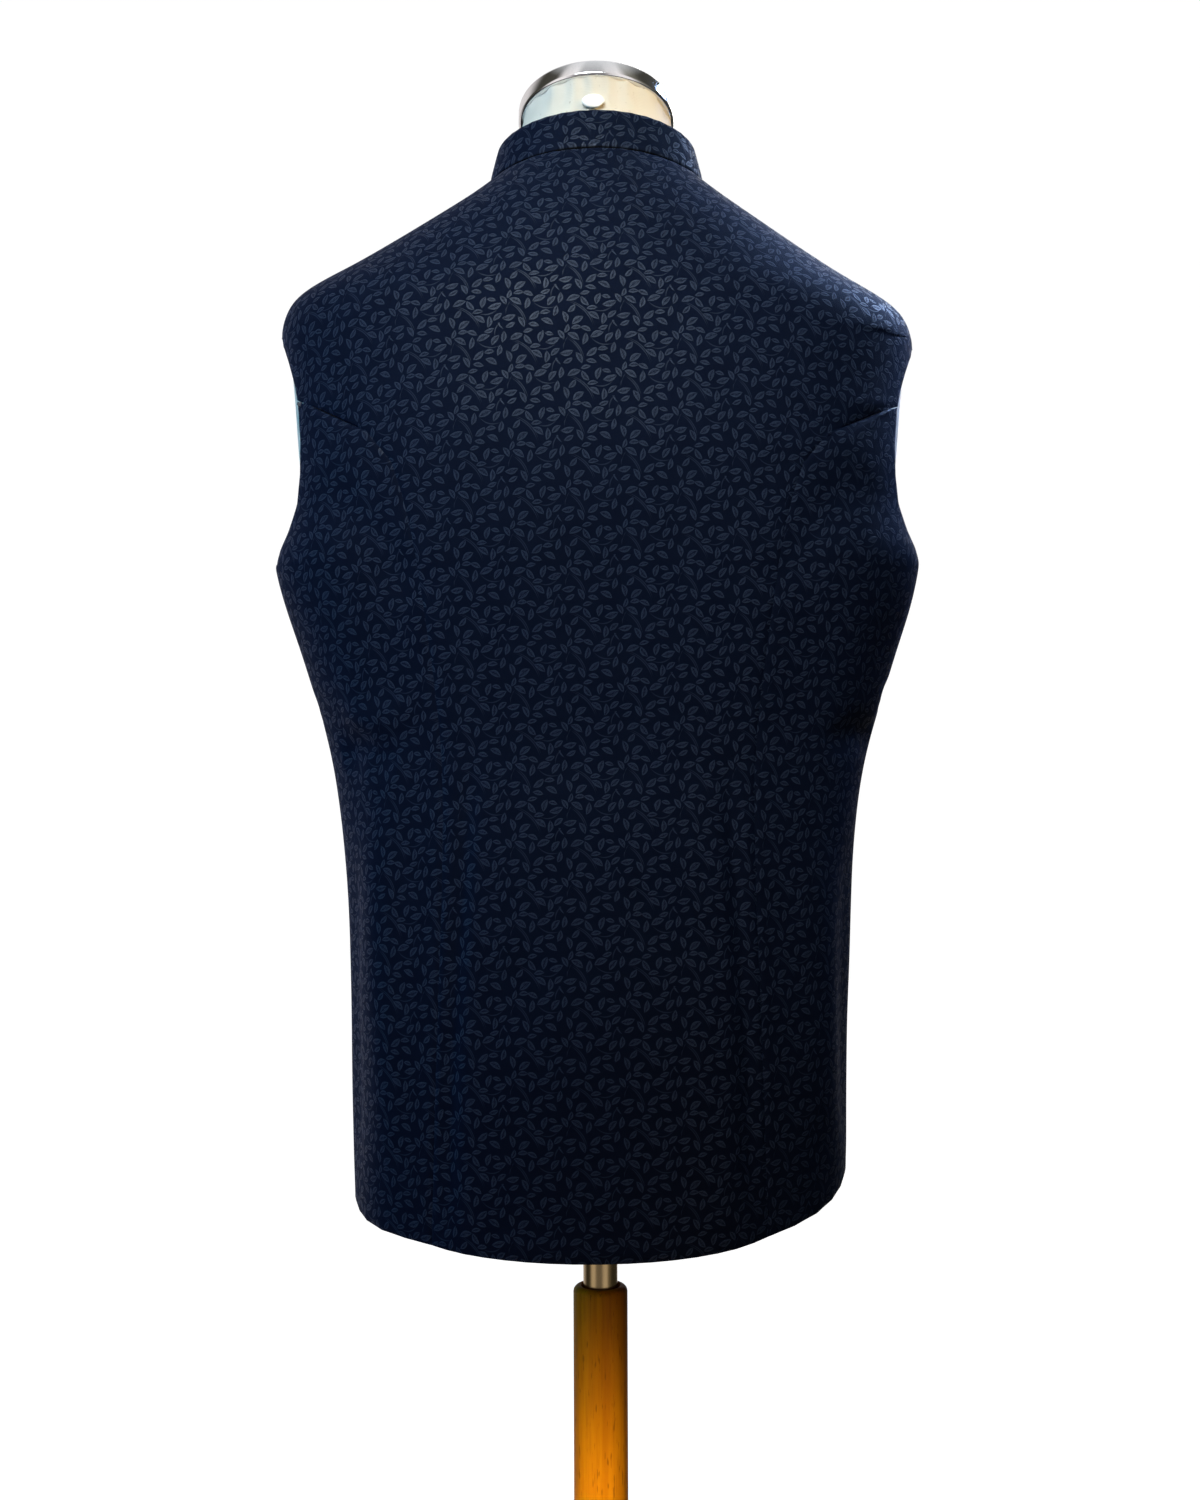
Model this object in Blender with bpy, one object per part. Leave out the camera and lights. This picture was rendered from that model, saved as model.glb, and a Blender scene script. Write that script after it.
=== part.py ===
"""A nehru jacket on a limbless dress form, one object for each cut piece and each hard part.

Metres, +Z up.  The origin is on the floor under the post; the jacket's back faces +Y and the
wearer's left is +X.  The body is a loft through closed rings.  A point on it has an angle, 0 at
centre back and growing towards the wearer's left, and a station, the distance up from the hem.
"""
import math
from collections import namedtuple

import bpy
from mathutils import Matrix, Vector

# ---------------------------------------------------------------- driving sizes
CLOTH = 0.0020            # wall of a cut panel with its interfacing
COLLAR_WALL = 0.0030
SEAM_GAP = 0.0003         # between two pieces that are sewn together
LAP = 0.0175              # how far each front runs past the centre line
UNDERLAP = 0.00245        # how far the right front dips under the left one
BUTTON_RADIUS = 0.0075
BUTTON_THICK = 0.0032
BUTTON_COUNT = 5
BUTTON_TOP = 1.355
BUTTON_STEP = 0.100
BUTTON_SHANK = 0.0009     # how far its underside stands off the cloth

FORM_BOTTOM = 0.752
NECK_RADIUS = 0.0520
CAP_RADIUS = 0.0556
CAP_THICK = 0.0120
CAP_TILT = math.radians(22.0)
CAP_TOP = Vector((0.0, -0.010, 1.5125))

TUBE_RADIUS = 0.0122
TUBE_WALL = 0.0015
TUBE_BOTTOM = 0.400
TUBE_TOP = 0.815
POST_RADIUS = 0.0193
POST_BORE = 0.0139
POST_TOP = 0.675
POST_FLOOR = 0.335        # bottom of the post's bore
BASE_RADIUS = 0.195
BASE_THICK = 0.028

# ---------------------------------------------------------------- the rings of the jacket
# half_width is at the side, back and front are the reaches in +Y and -Y, then the ring's height
# at centre back, side and centre front, the power of its outline (2 is an ellipse), and how far
# the form stands in from the cloth at the side and at centre back and front.
Ring = namedtuple("Ring", "name half_width back front z_back z_side z_front power gap_side gap_ends")
JACKET = [
    Ring("hem",          0.1735, 0.1390, 0.1350, 0.727, 0.742, 0.724, 2.15, 0.0100, 0.0100),
    Ring("low_seat",     0.1750, 0.1400, 0.1365, 0.800, 0.806, 0.797, 2.15, 0.0090, 0.0090),
    Ring("seat",         0.1760, 0.1385, 0.1360, 0.880, 0.881, 0.876, 2.15, 0.0080, 0.0080),
    Ring("high_hip",     0.1802, 0.1265, 0.1310, 0.985, 0.985, 0.980, 2.15, 0.0080, 0.0090),
    Ring("waist",        0.1890, 0.1175, 0.1280, 1.050, 1.050, 1.044, 2.20, 0.0080, 0.0090),
    Ring("low_chest",    0.2050, 0.1180, 0.1320, 1.106, 1.106, 1.100, 2.25, 0.0080, 0.0060),
    Ring("underarm",     0.2270, 0.1235, 0.1370, 1.184, 1.184, 1.178, 2.30, 0.0090, 0.0052),
    Ring("low_armhole",  0.2185, 0.1262, 0.1365, 1.222, 1.220, 1.208, 2.30, 0.0070, 0.0052),
    Ring("mid_armhole",  0.2190, 0.1255, 0.1345, 1.265, 1.262, 1.245, 2.30, 0.0060, 0.0052),
    Ring("high_armhole", 0.2215, 0.1190, 0.1285, 1.315, 1.310, 1.288, 2.30, 0.0050, 0.0052),
    Ring("shoulder_tip", 0.2235, 0.1128, 0.1200, 1.348, 1.350, 1.325, 2.30, 0.0040, 0.0050),
    Ring("over_tip",     0.2165, 0.1092, 0.1130, 1.363, 1.369, 1.341, 2.25, 0.0032, 0.0050),
    Ring("shoulder_end", 0.2010, 0.1058, 0.1055, 1.376, 1.3815, 1.352, 2.20, 0.0026, 0.0050),
    Ring("shoulder",     0.1730, 0.0990, 0.0960, 1.394, 1.3965, 1.364, 2.15, 0.0022, 0.0050),
    Ring("mid_shoulder", 0.1340, 0.0860, 0.0840, 1.424, 1.418, 1.375, 2.10, 0.0020, 0.0048),
    Ring("near_neck",    0.0930, 0.0690, 0.0700, 1.453, 1.443, 1.384, 2.05, 0.0018, 0.0046),
    Ring("neckline",     0.0765, 0.0595, 0.0620, 1.468, 1.455, 1.388, 2.00, 0.0018, 0.0046),
]
ARMHOLE_RINGS = ("underarm", "shoulder_tip")
RING_RISE = 1.5           # how a ring's height runs from its side to its ends

# ---------------------------------------------------------------- the side-back seams
# half_width is the seam's distance from centre back at a height of the side line.
Seam = namedtuple("Seam", "name height half_width")
SIDE_BACK = [
    Seam("hem",      0.742, 0.1130),
    Seam("seat",     0.881, 0.1080),
    Seam("high_hip", 0.985, 0.1045),
    Seam("waist",    1.060, 0.1050),
    Seam("chest",    1.150, 0.1150),
    Seam("blade",    1.215, 0.1270),
    Seam("turn",     1.262, 0.1480),
]
JOIN_HEIGHT = 1.296       # where the side-back seam runs out into the armhole

# ---------------------------------------------------------------- the armhole
ARMHOLE_BACK = 0.055      # how far its edge runs behind the shoulder line, and in front of it
ARMHOLE_FRONT = 0.060
ARMHOLE_POWER = 0.9

# ---------------------------------------------------------------- the largest folds
# A soft trough (depth below zero) or ridge that follows an angle from one height to another.
Fold = namedtuple("Fold", "name side low high angle_low angle_high half_width depth")
FOLDS = [
    Fold("left_seam_channel",    1, 0.70, 1.18, 41.0, 36.0, 0.020, -0.0030),
    Fold("right_seam_channel",  -1, 0.70, 1.18, 41.0, 36.0, 0.022, -0.0035),
    Fold("left_side_ridge",      1, 0.74, 1.04, 60.0, 58.0, 0.024,  0.0022),
    Fold("left_waist_hollow",    1, 1.00, 1.09, 62.0, 66.0, 0.026, -0.0030),
    Fold("right_side_ridge",    -1, 0.76, 1.02, 62.0, 60.0, 0.026,  0.0018),
]

# Where the garment hangs unevenly: the hem rides up and the shoulder drops on the wearer's right.
# The rise is full at its angle and peak height, and fades both ways round and up and down.
Rise = namedtuple("Rise", "name side angle half_angle low peak high rise")
RISES = [
    Rise("right_hem",      -1, 100.0, 50.0, 0.500, 0.742, 0.960,  0.021),
    Rise("right_shoulder", -1,  90.0, 62.0, 1.184, 1.372, 1.456, -0.010),
]

LOWER_ROWS = 16
ARMHOLE_ROWS = 12
SHOULDER_ROWS = 8
BACK_COLUMNS = 16
SIDE_COLUMNS = 6
FRONT_COLUMNS = 9
FRONT_COLUMNS_AT = (0.042, 0.031, 0.0205, 0.0)   # the last ones' distance from the centre line


# ---------------------------------------------------------------- the loft
def smooth(knots, values, at):
    """A cubic through the values, with slopes from the neighbours on each side."""
    at = min(max(at, knots[0]), knots[-1])
    last = len(knots) - 1
    i = next(k for k in range(last) if at <= knots[k + 1])

    def slope(k):
        low, high = max(k - 1, 0), min(k + 1, last)
        return (values[high] - values[low]) / (knots[high] - knots[low])

    span = knots[i + 1] - knots[i]
    t = (at - knots[i]) / span
    rise = (2 * t ** 3 - 3 * t ** 2 + 1) * values[i] + (3 * t ** 2 - 2 * t ** 3) * values[i + 1]
    lean = (t ** 3 - 2 * t ** 2 + t) * slope(i) + (t ** 3 - t ** 2) * slope(i + 1)
    return rise + lean * span


def power_of(value, power):
    return math.copysign(abs(value) ** power, value)


def ring_point(ring, angle):
    sine, cosine = math.sin(angle), math.cos(angle)
    reach = ring.back if cosine >= 0 else ring.front
    end = ring.z_back if cosine >= 0 else ring.z_front
    height = ring.z_side + (end - ring.z_side) * abs(cosine) ** RING_RISE
    x = ring.half_width * power_of(sine, 2 / ring.power)
    y = reach * power_of(cosine, 2 / ring.power)
    return Vector((x, y, height))


class Loft:
    """The jacket's outer side."""

    def __init__(self, rings, folds, rises):
        self.rings = rings
        self.folds = folds
        self.rises = rises
        self.stations = [0.0]
        for below, above in zip(rings, rings[1:]):
            steps = [(ring_point(above, a) - ring_point(below, a)).length for a in (0, math.pi / 2, math.pi)]
            self.stations.append(self.stations[-1] + sum(steps) / len(steps))

    def ring(self, station):
        columns = list(zip(*self.rings))
        values = [smooth(self.stations, column, station) for column in columns[1:]]
        return Ring("between", *values)

    def station_of(self, name):
        return self.stations[[ring.name for ring in self.rings].index(name)]

    def station_at(self, height):
        """The station whose side line is at this height."""
        low, high = self.stations[0], self.stations[-1]
        for _ in range(40):
            middle = (low + high) / 2
            if self.ring(middle).z_side < height:
                low = middle
            else:
                high = middle
        return low

    def smooth_point(self, angle, station):
        ring = self.ring(station)
        point = ring_point(ring, angle)
        for rise in self.rises:
            turn = math.remainder(angle - math.radians(rise.angle) * rise.side, 2 * math.pi)
            bell = math.exp(-(turn / math.radians(rise.half_angle)) ** 2)
            end = rise.low if ring.z_side < rise.peak else rise.high
            fade = min(max((ring.z_side - end) / (rise.peak - end), 0.0), 1.0)
            point.z += rise.rise * bell * fade * fade * (3 - 2 * fade)
        return point

    def across(self, angle, station, step=0.01):
        before, after = self.smooth_point(angle - step, station), self.smooth_point(angle + step, station)
        return (after - before) / (2 * step)

    def along(self, angle, station, step=0.001):
        low = max(station - step, self.stations[0])
        high = min(station + step, self.stations[-1])
        return (self.smooth_point(angle, high) - self.smooth_point(angle, low)) / (high - low)

    def normal(self, angle, station):
        return self.across(angle, station).cross(self.along(angle, station)).normalized() * -1.0

    def fold_height(self, angle, station):
        """The sum of the folds at a point, each a soft bell across and fading at both ends."""
        point = self.smooth_point(angle, station)
        turn = self.across(angle, station).length
        total = 0.0
        for fold in self.folds:
            run = (point.z - fold.low) / (fold.high - fold.low)
            if not -0.25 < run < 1.25:
                continue
            centre = math.radians(fold.angle_low + (fold.angle_high - fold.angle_low) * run) * fold.side
            off = (angle - centre) * turn / fold.half_width
            fade = min(1.0, max(0.0, (1.25 - run) / 0.5))
            if fold.low > 0.75:
                fade *= min(1.0, max(0.0, (run + 0.25) / 0.5))
            total += fold.depth * math.exp(-off * off) * fade * fade * (3 - 2 * fade)
        return total

    def point(self, angle, station, inwards=0.0):
        normal = self.normal(angle, station)
        return self.smooth_point(angle, station) + normal * (self.fold_height(angle, station) - inwards)

    def form_point(self, angle, station):
        """A point on the dress form: inside the cloth by its wall and the ring's gap."""
        ring = self.ring(station)
        side = abs(math.sin(angle)) ** 3
        gap = ring.gap_ends + (ring.gap_side - ring.gap_ends) * side
        return self.smooth_point(angle, station) - self.normal(angle, station) * (CLOTH + gap)

    def angle_at(self, half_width, station):
        """The angle, under a quarter turn, where the ring is this far from its middle plane."""
        ring = self.ring(station)
        share = min(half_width / ring.half_width, 1.0)
        return math.asin(share ** (ring.power / 2))

    def angle_behind(self, reach, station):
        """The angle where the ring is this far behind the shoulder line, or in front if below 0."""
        ring = self.ring(station)
        share = reach / (ring.back if reach >= 0 else ring.front)
        return math.acos(power_of(share, ring.power / 2))


QUARTER = math.pi / 2
jacket = Loft(JACKET, FOLDS, RISES)
UNDERARM, TIP = [jacket.station_of(name) for name in ARMHOLE_RINGS]
NECKLINE = jacket.stations[-1]
JOIN = jacket.station_at(JOIN_HEIGHT)


# ---------------------------------------------------------------- seam and edge lines
def armhole_run(station):
    """Half a turn's sine from the bottom of the armhole to its top, 0 at both."""
    share = min(max((station - UNDERARM) / (TIP - UNDERARM), 0.0), 1.0)
    return math.sin(math.acos(1 - 2 * share)) ** ARMHOLE_POWER


def armhole_back(station):
    return jacket.angle_behind(ARMHOLE_BACK * armhole_run(station), station)


def armhole_front(station):
    return jacket.angle_behind(-ARMHOLE_FRONT * armhole_run(station), station)


def side_back_seam(station):
    heights = [row.height for row in SIDE_BACK] + [JOIN_HEIGHT]
    join_width = jacket.smooth_point(armhole_back(JOIN), JOIN).x
    widths = [row.half_width for row in SIDE_BACK] + [join_width]
    return jacket.angle_at(smooth(heights, widths, jacket.ring(station).z_side), station)


def back_edge(station):
    if station < JOIN:
        return side_back_seam(station)
    return armhole_back(station) if station < TIP else QUARTER


def side_edge(station):
    return QUARTER if station <= UNDERARM else armhole_back(station)


def front_edge(station):
    return armhole_front(station) if UNDERARM < station < TIP else QUARTER


def lap_edge(station):
    return math.pi + jacket.angle_at(LAP, station)


def trimmed(line, towards):
    """The line moved half a seam gap along the cloth, square to itself; towards is +1 or -1."""
    def moved(station):
        angle = line(station)
        low = max(station - 0.002, 0.0)
        high = min(station + 0.002, NECKLINE)
        across = jacket.across(angle, station)
        run = jacket.along(angle, station) + across * (line(high) - line(low)) / (high - low)
        sine = across.cross(run).length / (across.length * run.length)
        return angle + towards * SEAM_GAP / 2 / (across.length * max(sine, 0.3))
    return moved


def where(trimmed_line, plain_line, is_seam):
    """The trimmed line where the edge is sewn, and the plain line where it is open."""
    return lambda station: (trimmed_line if is_seam(station) else plain_line)(station)


def spread(low, high, count):
    return [low + (high - low) * k / count for k in range(count + 1)]


def row_stations():
    lower = spread(0.0, UNDERARM, LOWER_ROWS)
    middle = []
    for k in range(1, ARMHOLE_ROWS):
        middle.append(UNDERARM + (TIP - UNDERARM) * (1 - math.cos(math.pi * k / ARMHOLE_ROWS)) / 2)
    near = min(middle, key=lambda station: abs(station - JOIN))
    middle[middle.index(near)] = JOIN
    middle = sorted(middle + [JOIN - 0.005])
    upper = spread(TIP, NECKLINE - SEAM_GAP / 2, SHOULDER_ROWS)
    return lower + middle + upper


# ---------------------------------------------------------------- making meshes
def material(name, colour, roughness, metallic=0.0):
    made = bpy.data.materials.new(name)
    made.use_nodes = True
    shader = made.node_tree.nodes["Principled BSDF"]
    shader.inputs["Base Color"].default_value = (*colour, 1.0)
    shader.inputs["Roughness"].default_value = roughness
    shader.inputs["Metallic"].default_value = metallic
    return made


def add_object(name, vertices, faces, finish, parent=None):
    mesh = bpy.data.meshes.new(name)
    mesh.from_pydata([tuple(v) for v in vertices], [], faces)
    mesh.update()
    made = bpy.data.objects.new(name, mesh)
    bpy.context.scene.collection.objects.link(made)
    mesh.materials.append(finish)
    if parent:
        made.parent = parent
        made.matrix_parent_inverse = parent.matrix_world.inverted()
    return made


def quads_between(low, high, closed):
    """Faces between two rows of vertex numbers; a row of one number is a point."""
    faces = []
    count = max(len(low), len(high))
    for k in range(count if closed else count - 1):
        n = (k + 1) % count
        corners = [low[k % len(low)], low[n % len(low)], high[n % len(high)], high[k % len(high)]]
        faces.append([c for i, c in enumerate(corners) if c not in corners[:i]])
    return [face for face in faces if len(face) > 2]


def wall(name, outer, inner, finish, parent):
    """A closed wall between two matching grids of points."""
    vertices = []

    def numbered(rows):
        numbers = []
        for row in rows:
            numbers.append(list(range(len(vertices), len(vertices) + len(row))))
            vertices.extend(row)
        return numbers

    out, into = numbered(outer), numbered(inner)
    faces = []
    for k in range(len(out) - 1):
        faces += [face[::-1] for face in quads_between(out[k], out[k + 1], closed=False)]
        faces += quads_between(into[k], into[k + 1], closed=False)
    rim_out = out[0] + [row[-1] for row in out[1:]] + out[-1][-2::-1] + [row[0] for row in out[-2:0:-1]]
    rim_in = into[0] + [row[-1] for row in into[1:]] + into[-1][-2::-1] + [row[0] for row in into[-2:0:-1]]
    for k in range(len(rim_out)):
        n = (k + 1) % len(rim_out)
        faces.append([rim_out[k], rim_out[n], rim_in[n], rim_in[k]])
    return add_object(name, vertices, faces, finish, parent)


def ring_solid(name, rows, finish, parent):
    """A closed solid from rows of ring points; the first and last rows are filled."""
    vertices, numbers = [], []
    for row in rows:
        numbers.append(list(range(len(vertices), len(vertices) + len(row))))
        vertices.extend(row)
    faces = [numbers[0], numbers[-1][::-1]]
    for low, high in zip(numbers, numbers[1:]):
        faces += [face[::-1] for face in quads_between(low, high, closed=True)]
    return add_object(name, vertices, faces, finish, parent)


def turned(name, profile, finish, parent, sides=48):
    """A solid of revolution about Z from (radius, height) points; a radius of 0 is a pole."""
    vertices, numbers = [], []
    for radius, height in profile:
        count = sides if radius > 0 else 1
        numbers.append(list(range(len(vertices), len(vertices) + count)))
        for k in range(count):
            turn = 2 * math.pi * k / sides
            vertices.append(Vector((radius * math.cos(turn), radius * math.sin(turn), height)))
    faces = []
    for low, high in zip(numbers, numbers[1:] + numbers[:1]):
        if len(low) > 1 or len(high) > 1:
            faces += quads_between(low, high, closed=True)
    return add_object(name, vertices, faces, finish, parent)


def rounded(corner_radius, corner_height, bend, start, end, steps=4):
    """Profile points round a corner whose bend is centred here, from one angle to another."""
    points = []
    for angle in spread(math.radians(start), math.radians(end), steps):
        points.append((corner_radius + bend * math.cos(angle), corner_height + bend * math.sin(angle)))
    return points


# ---------------------------------------------------------------- the cut pieces
def panel(name, stations, columns, finish, parent, side=1, sink=None, tip=False):
    """A cloth wall; columns gives a row's angles, and side -1 mirrors it to the wearer's right."""
    outer, inner = [], []
    for index, station in enumerate(stations):
        angles = columns(station)
        if tip and index == len(stations) - 1:
            angles = angles[-1:]
        outer_row, inner_row = [], []
        for angle in angles:
            dip = sink(angle, station) if sink else 0.0
            outer_row.append(jacket.point(side * angle, station, dip))
            inner_row.append(jacket.point(side * angle, station, dip + CLOTH))
        outer.append(outer_row)
        inner.append(inner_row)
    if side < 0:
        outer = [row[::-1] for row in outer]
        inner = [row[::-1] for row in inner]
    return wall(name, outer, inner, finish, parent)


def underlap(angle, station):
    """How far the right front sinks near its edge to lie under the left one."""
    x = -jacket.smooth_point(angle, station).x
    ease = min(max((0.042 + x) / 0.0215, 0.0), 1.0)
    return UNDERLAP * ease * ease * (3 - 2 * ease)


def make_panels(finish, parent):
    rows = row_stations()
    sewn_side = trimmed(side_back_seam, -1)
    back_line = where(sewn_side, back_edge, lambda s: s < JOIN)
    shoulder = trimmed(lambda s: QUARTER, -1)
    back_right = where(shoulder, back_line, lambda s: s >= TIP)
    panel("back", rows, lambda s: spread(-back_right(s), back_right(s), BACK_COLUMNS), finish, parent)

    inner_line = trimmed(side_back_seam, 1)
    outer_line = where(trimmed(lambda s: QUARTER, -1), side_edge, lambda s: s <= UNDERARM)
    side_rows = [row for row in rows if row < JOIN] + [JOIN - 0.0008]
    front_line = where(trimmed(lambda s: QUARTER, 1), front_edge, lambda s: s <= UNDERARM or s >= TIP)

    def side_columns(station):
        return spread(inner_line(station), outer_line(station), SIDE_COLUMNS)

    def front_columns(station):
        near_lap = [math.pi - jacket.angle_at(x, station) for x in FRONT_COLUMNS_AT]
        return spread(front_line(station), near_lap[0], FRONT_COLUMNS) + near_lap[1:] + [lap_edge(station)]

    for label, side in (("left", 1), ("right", -1)):
        panel("side_back_" + label, side_rows, side_columns, finish, parent, side, tip=True)
        sink = underlap if side < 0 else None
        panel("front_" + label, rows, front_columns, finish, parent, side, sink)


# ---------------------------------------------------------------- the collar
CollarRing = namedtuple("CollarRing", "name half_width back front z_back z_side z_front")
COLLAR = [
    CollarRing("seam", 0.0765, 0.0595, 0.0618, 1.4688, 1.4560, 1.3893),
    CollarRing("top",  0.0695, 0.0500, 0.0650, 1.4965, 1.4830, 1.4180),
]
COLLAR_COLUMNS = 44
COLLAR_ROWS = 4
COLLAR_CORNER = 0.018
COLLAR_PARTING = 0.0015   # half the space between its two ends


def collar_point(angle, share):
    values = [low + (high - low) * share for low, high in zip(COLLAR[0][1:], COLLAR[1][1:])]
    ring = Ring("collar", *values, 2.0, 0, 0)
    return ring_point(ring, angle)


def make_collar(finish, parent):
    height = (collar_point(math.pi, 1) - collar_point(math.pi, 0)).length
    end_angle = math.pi - math.asin(COLLAR_PARTING / COLLAR[0].half_width)
    outer = [[] for _ in range(COLLAR_ROWS + 1)]
    inner = [[] for _ in range(COLLAR_ROWS + 1)]
    for column in range(COLLAR_COLUMNS + 1):
        ease = column / COLLAR_COLUMNS * 2 - 1
        angle = end_angle * (1.25 * ease - 0.25 * power_of(ease, 3))
        here = collar_point(angle, 0)
        from_end = abs(here.x) - COLLAR_PARTING if here.y < 0 else COLLAR_CORNER
        into = max(COLLAR_CORNER - from_end, 0.0)
        top = height - COLLAR_CORNER + math.sqrt(max(COLLAR_CORNER ** 2 - into ** 2, 0.0))
        for row in range(COLLAR_ROWS + 1):
            share = row / COLLAR_ROWS * top / height
            point = collar_point(angle, share)
            across = collar_point(angle + 0.01, share) - collar_point(angle - 0.01, share)
            up = collar_point(angle, 1) - collar_point(angle, 0)
            normal = up.cross(across).normalized()
            outer[row].append(point)
            inner[row].append(point - normal * COLLAR_WALL)
    return wall("collar", outer, inner, finish, parent)


# ---------------------------------------------------------------- the buttons
def make_buttons(finish, parent):
    edge = 0.0008
    half = BUTTON_THICK / 2
    dish = BUTTON_RADIUS * 0.62
    profile = [(0, -half), (BUTTON_RADIUS - edge, -half)]
    profile += rounded(BUTTON_RADIUS - edge, 0.0, edge, -60, 60, 3)
    profile += [(BUTTON_RADIUS - edge, half), (dish, half - 0.0001)]
    profile += [(dish - 0.0006, half - 0.0007), (0, half - 0.0007)]
    for k in range(BUTTON_COUNT):
        height = BUTTON_TOP - k * BUTTON_STEP
        low, high = 0.0, NECKLINE
        for _ in range(40):
            middle = (low + high) / 2
            if jacket.smooth_point(math.pi, middle).z < height:
                low = middle
            else:
                high = middle
        normal = jacket.normal(math.pi, low)
        place = jacket.point(math.pi, low) + normal * (half + BUTTON_SHANK)
        made = turned("button_%d" % (k + 1), profile, finish, None, sides=24)
        made.matrix_world = Matrix.Translation(place) @ normal.to_track_quat("Z", "Y").to_matrix().to_4x4()
        made.parent = parent
        made.matrix_parent_inverse = parent.matrix_world.inverted()


# ---------------------------------------------------------------- the dress form
FORM_COLUMNS = 48
FORM_ROWS = 26


def tilted_ring(centre, radius, tilt, turn):
    """A point of a circle that leans forwards by the tilt; turn 0 is at the back."""
    x, y = radius * math.sin(turn), radius * math.cos(turn)
    return centre + Vector((x, y * math.cos(tilt), y * math.sin(tilt)))


def make_form(cream, chrome, white, parent):
    turns = [2 * math.pi * k / FORM_COLUMNS for k in range(FORM_COLUMNS)]
    start = jacket.station_at(0.790)
    rows = []
    for station in spread(start, NECKLINE, FORM_ROWS):
        rows.append([jacket.form_point(turn, station) for turn in turns])
    first, last = rows[0], rows[-1]
    for scale, height in ((0.997, 0.764), (0.985, 0.756), (0.965, FORM_BOTTOM)):
        rows.insert(0, [Vector((p.x * scale, p.y * scale, height)) for p in first])
    bore = TUBE_RADIUS + 0.0003
    for height in (FORM_BOTTOM, TUBE_TOP + 0.0005):
        rows.insert(0, [Vector((bore * math.sin(t), bore * math.cos(t), height)) for t in turns])

    axis = Vector((0.0, -math.sin(CAP_TILT), math.cos(CAP_TILT)))
    under_cap = CAP_TOP - axis * (CAP_THICK + SEAM_GAP)
    top = [tilted_ring(under_cap, NECK_RADIUS, CAP_TILT, turn) for turn in turns]
    for share in (0.18, 0.40, 0.64, 0.85):
        bow = math.sin(math.pi * share) * 0.0035
        ring = []
        for low, high in zip(last, top):
            point = low.lerp(high, share)
            flat = Vector((point.x, point.y + 0.004, 0.0)).normalized()
            ring.append(point - flat * bow)
        rows.append(ring)
    rows.append(top)
    made = ring_solid("form", rows, cream, parent)

    edge = 0.0018
    profile = [(0, -CAP_THICK)]
    profile += rounded(CAP_RADIUS - edge, -CAP_THICK + edge, edge, -90, 0)
    profile += rounded(CAP_RADIUS - edge, -edge, edge, 0, 90)
    profile += [(CAP_RADIUS * 0.6, 0.0012), (0, 0.0018)]
    cap = turned("neck_cap", profile, chrome, None)
    cap.matrix_world = Matrix.Translation(CAP_TOP) @ Matrix.Rotation(CAP_TILT, 4, "X")
    cap.parent = parent
    cap.matrix_parent_inverse = parent.matrix_world.inverted()
    return made, cap


def make_stud(form, finish, parent):
    """A small white oval fixing on the nape, just under the cap."""
    height, x = 1.5035, 0.002
    hit, place, normal, _ = form.ray_cast(Vector((x, 0.2, height)), Vector((0, -1, 0)))
    profile = [(0, -0.0012), (0.0044, -0.0012), (0.0048, -0.0006), (0.0048, 0.0002)]
    profile += [(0.0042, 0.0010), (0.0025, 0.0013), (0, 0.0014)]
    made = turned("nape_stud", profile, finish, None, sides=24)
    turn = normal.to_track_quat("Z", "Y").to_matrix().to_4x4()
    oval = Matrix.Diagonal((1.65, 1.0, 1.0, 1.0))
    made.matrix_world = Matrix.Translation(place + normal * 0.0019) @ turn @ oval
    made.parent = parent
    made.matrix_parent_inverse = parent.matrix_world.inverted()


# ---------------------------------------------------------------- tube, post and base
def make_stand(steel, wood, tube_parent, stand_parent):
    hole = TUBE_RADIUS - TUBE_WALL
    profile = [(hole, TUBE_BOTTOM), (TUBE_RADIUS, TUBE_BOTTOM), (TUBE_RADIUS, TUBE_TOP), (hole, TUBE_TOP)]
    turned("tube", profile, steel, tube_parent)
    foot = BASE_THICK + 0.0002
    bend = 0.0045
    profile = [(0, foot), (POST_RADIUS - 0.001, foot), (POST_RADIUS, foot + 0.001)]
    profile += rounded(POST_RADIUS - bend, POST_TOP - bend, bend, 0, 90, 5)
    profile += [(POST_BORE + 0.0006, POST_TOP), (POST_BORE, POST_TOP - 0.0008)]
    profile += [(POST_BORE, POST_FLOOR), (0, POST_FLOOR)]
    turned("post", profile, wood, stand_parent)
    edge = 0.008
    profile = [(0, 0), (BASE_RADIUS - 0.003, 0), (BASE_RADIUS, 0.003)]
    profile += rounded(BASE_RADIUS - edge, BASE_THICK - edge, edge, 0, 90)
    profile += [(0, BASE_THICK)]
    turned("base", profile, wood, stand_parent, sides=72)


def empty(name, place, parent=None):
    made = bpy.data.objects.new(name, None)
    bpy.context.scene.collection.objects.link(made)
    made.location = place
    bpy.context.view_layer.update()
    if parent:
        made.parent = parent
        made.matrix_parent_inverse = parent.matrix_world.inverted()
        bpy.context.view_layer.update()
    return made


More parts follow.
